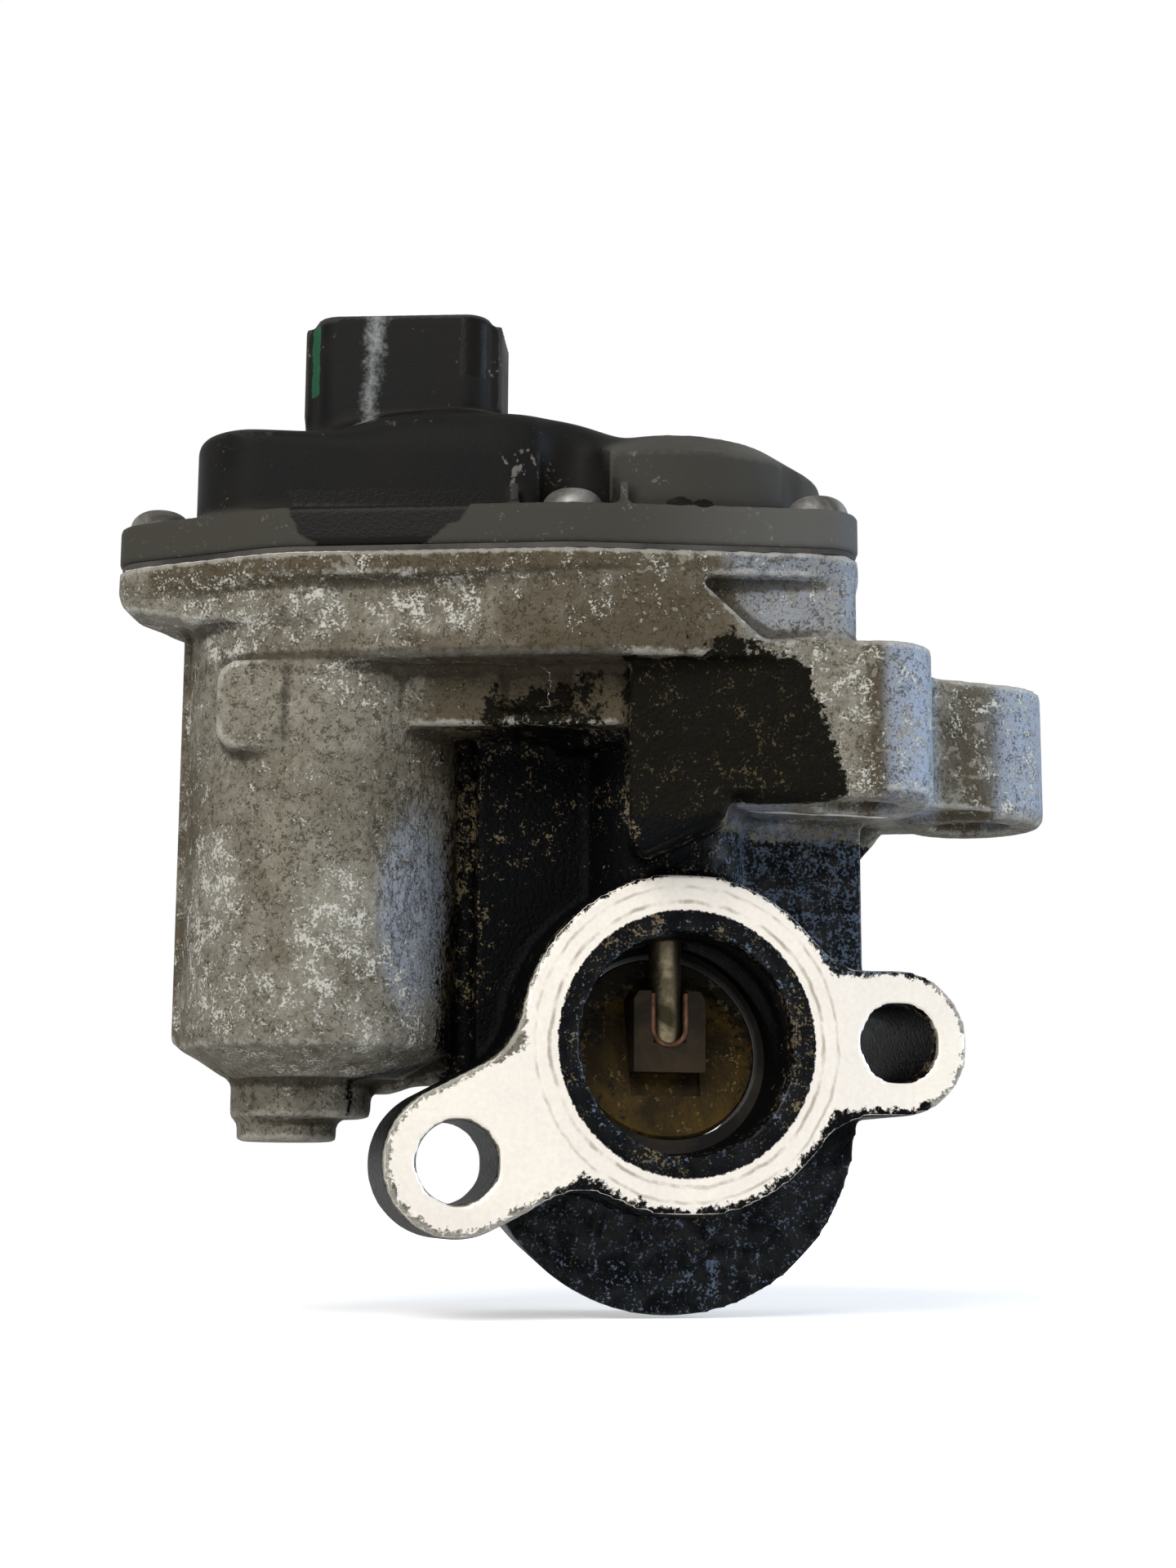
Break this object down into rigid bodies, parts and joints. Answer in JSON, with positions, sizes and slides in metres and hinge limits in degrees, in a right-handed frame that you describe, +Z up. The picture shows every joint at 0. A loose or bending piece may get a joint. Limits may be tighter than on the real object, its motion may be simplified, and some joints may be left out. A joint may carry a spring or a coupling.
{
  "type": "exhaust gas recirculation valve",
  "caption": "Electric flap-type exhaust gas recirculation valve: cast body with two-lug inlet flange, upright motor, geared drive and plastic cover with upward connector.",
  "frame": {"origin": "centre of the inlet port on the machined flange face", "axes": "+Z up along the flap shaft, +Y into the valve along the gas flow, +X to the right seen from the inlet"},
  "size_m": [0.1077, 0.0559, 0.115],
  "materials": {
    "cast_aluminium": "as-cast, oxidised",
    "black_plastic": "moulded glass-filled plastic",
    "gasket_rubber": "matt",
    "zinc_steel": "zinc plated",
    "tin_brass": "tinned",
    "copper": "bare copper alloy",
    "circuit_board": "solder mask",
    "dark_steel": "drawn steel",
    "ferrite": "sintered",
    "carbon": "carbon",
    "bronze": "sintered",
    "gear_plastic": "natural polymer",
    "spring_steel": "oil tempered",
    "stainless": "heat stained",
    "seal_ptfe": "filled"
  },
  "bodies": {
    "housing": {"main_housing": "cast_aluminium", "cover": "black_plastic", "cover_gasket": "gasket_rubber", "cover_screws": "zinc_steel", "connector_terminals": "tin_brass", "power_strips": "copper", "signal_strips": "copper", "sensor_board": "circuit_board", "hall_sensor": "black_plastic", "motor_can": "dark_steel", "wave_washer": "spring_steel", "motor_magnets": "ferrite", "motor_bushes": "bronze", "brush_holder": "black_plastic", "motor_brushes": "carbon", "motor_tabs": "tin_brass", "motor_plate": "zinc_steel", "motor_screws": "zinc_steel", "idler_pin": "dark_steel", "thrust_washer": "bronze", "lower_bush": "bronze", "shaft_seal": "seal_ptfe", "bearing_outer_ring": "dark_steel", "bearing_rollers": "dark_steel", "return_spring": "spring_steel", "seat_ring": "stainless"},
    "flap": {"sector_gear": "gear_plastic", "sensor_magnet": "ferrite", "valve_shaft": "stainless", "shaft_spacer": "dark_steel", "bearing_inner_ring": "dark_steel", "valve_disc": "stainless", "disc_saddle": "stainless"},
    "idler": {"idler_gear": "gear_plastic"},
    "rotor": {"motor_shaft": "dark_steel", "motor_pinion": "bronze", "armature_core": "dark_steel", "armature_windings": "copper", "commutator": "copper"}
  },
  "joints": [
    {"name": "flap_turn", "type": "hinge", "parent": "housing", "child": "flap", "pos_m": [0, 0.01, 0], "axis": [0, 0, 1], "range_deg": [0, 70], "stiffness_Nm_per_rad": 0.1, "springref_deg": -17.19, "deforming": ["return_spring"]},
    {"name": "idler_turn", "type": "hinge", "parent": "housing", "child": "idler", "pos_m": [-0.01804, 0.01657, 0], "axis": [0, 0, 1], "range_deg": [-210, 0]},
    {"name": "rotor_turn", "type": "hinge", "parent": "housing", "child": "rotor", "pos_m": [-0.03877, 0.0183, 0], "axis": [0, 0, 1], "range_deg": [0, 570]}
  ],
  "couplings": [
    {"joint": "idler_turn", "follows": "flap_turn", "ratio": -3},
    {"joint": "rotor_turn", "follows": "flap_turn", "ratio": 8.1429}
  ]
}
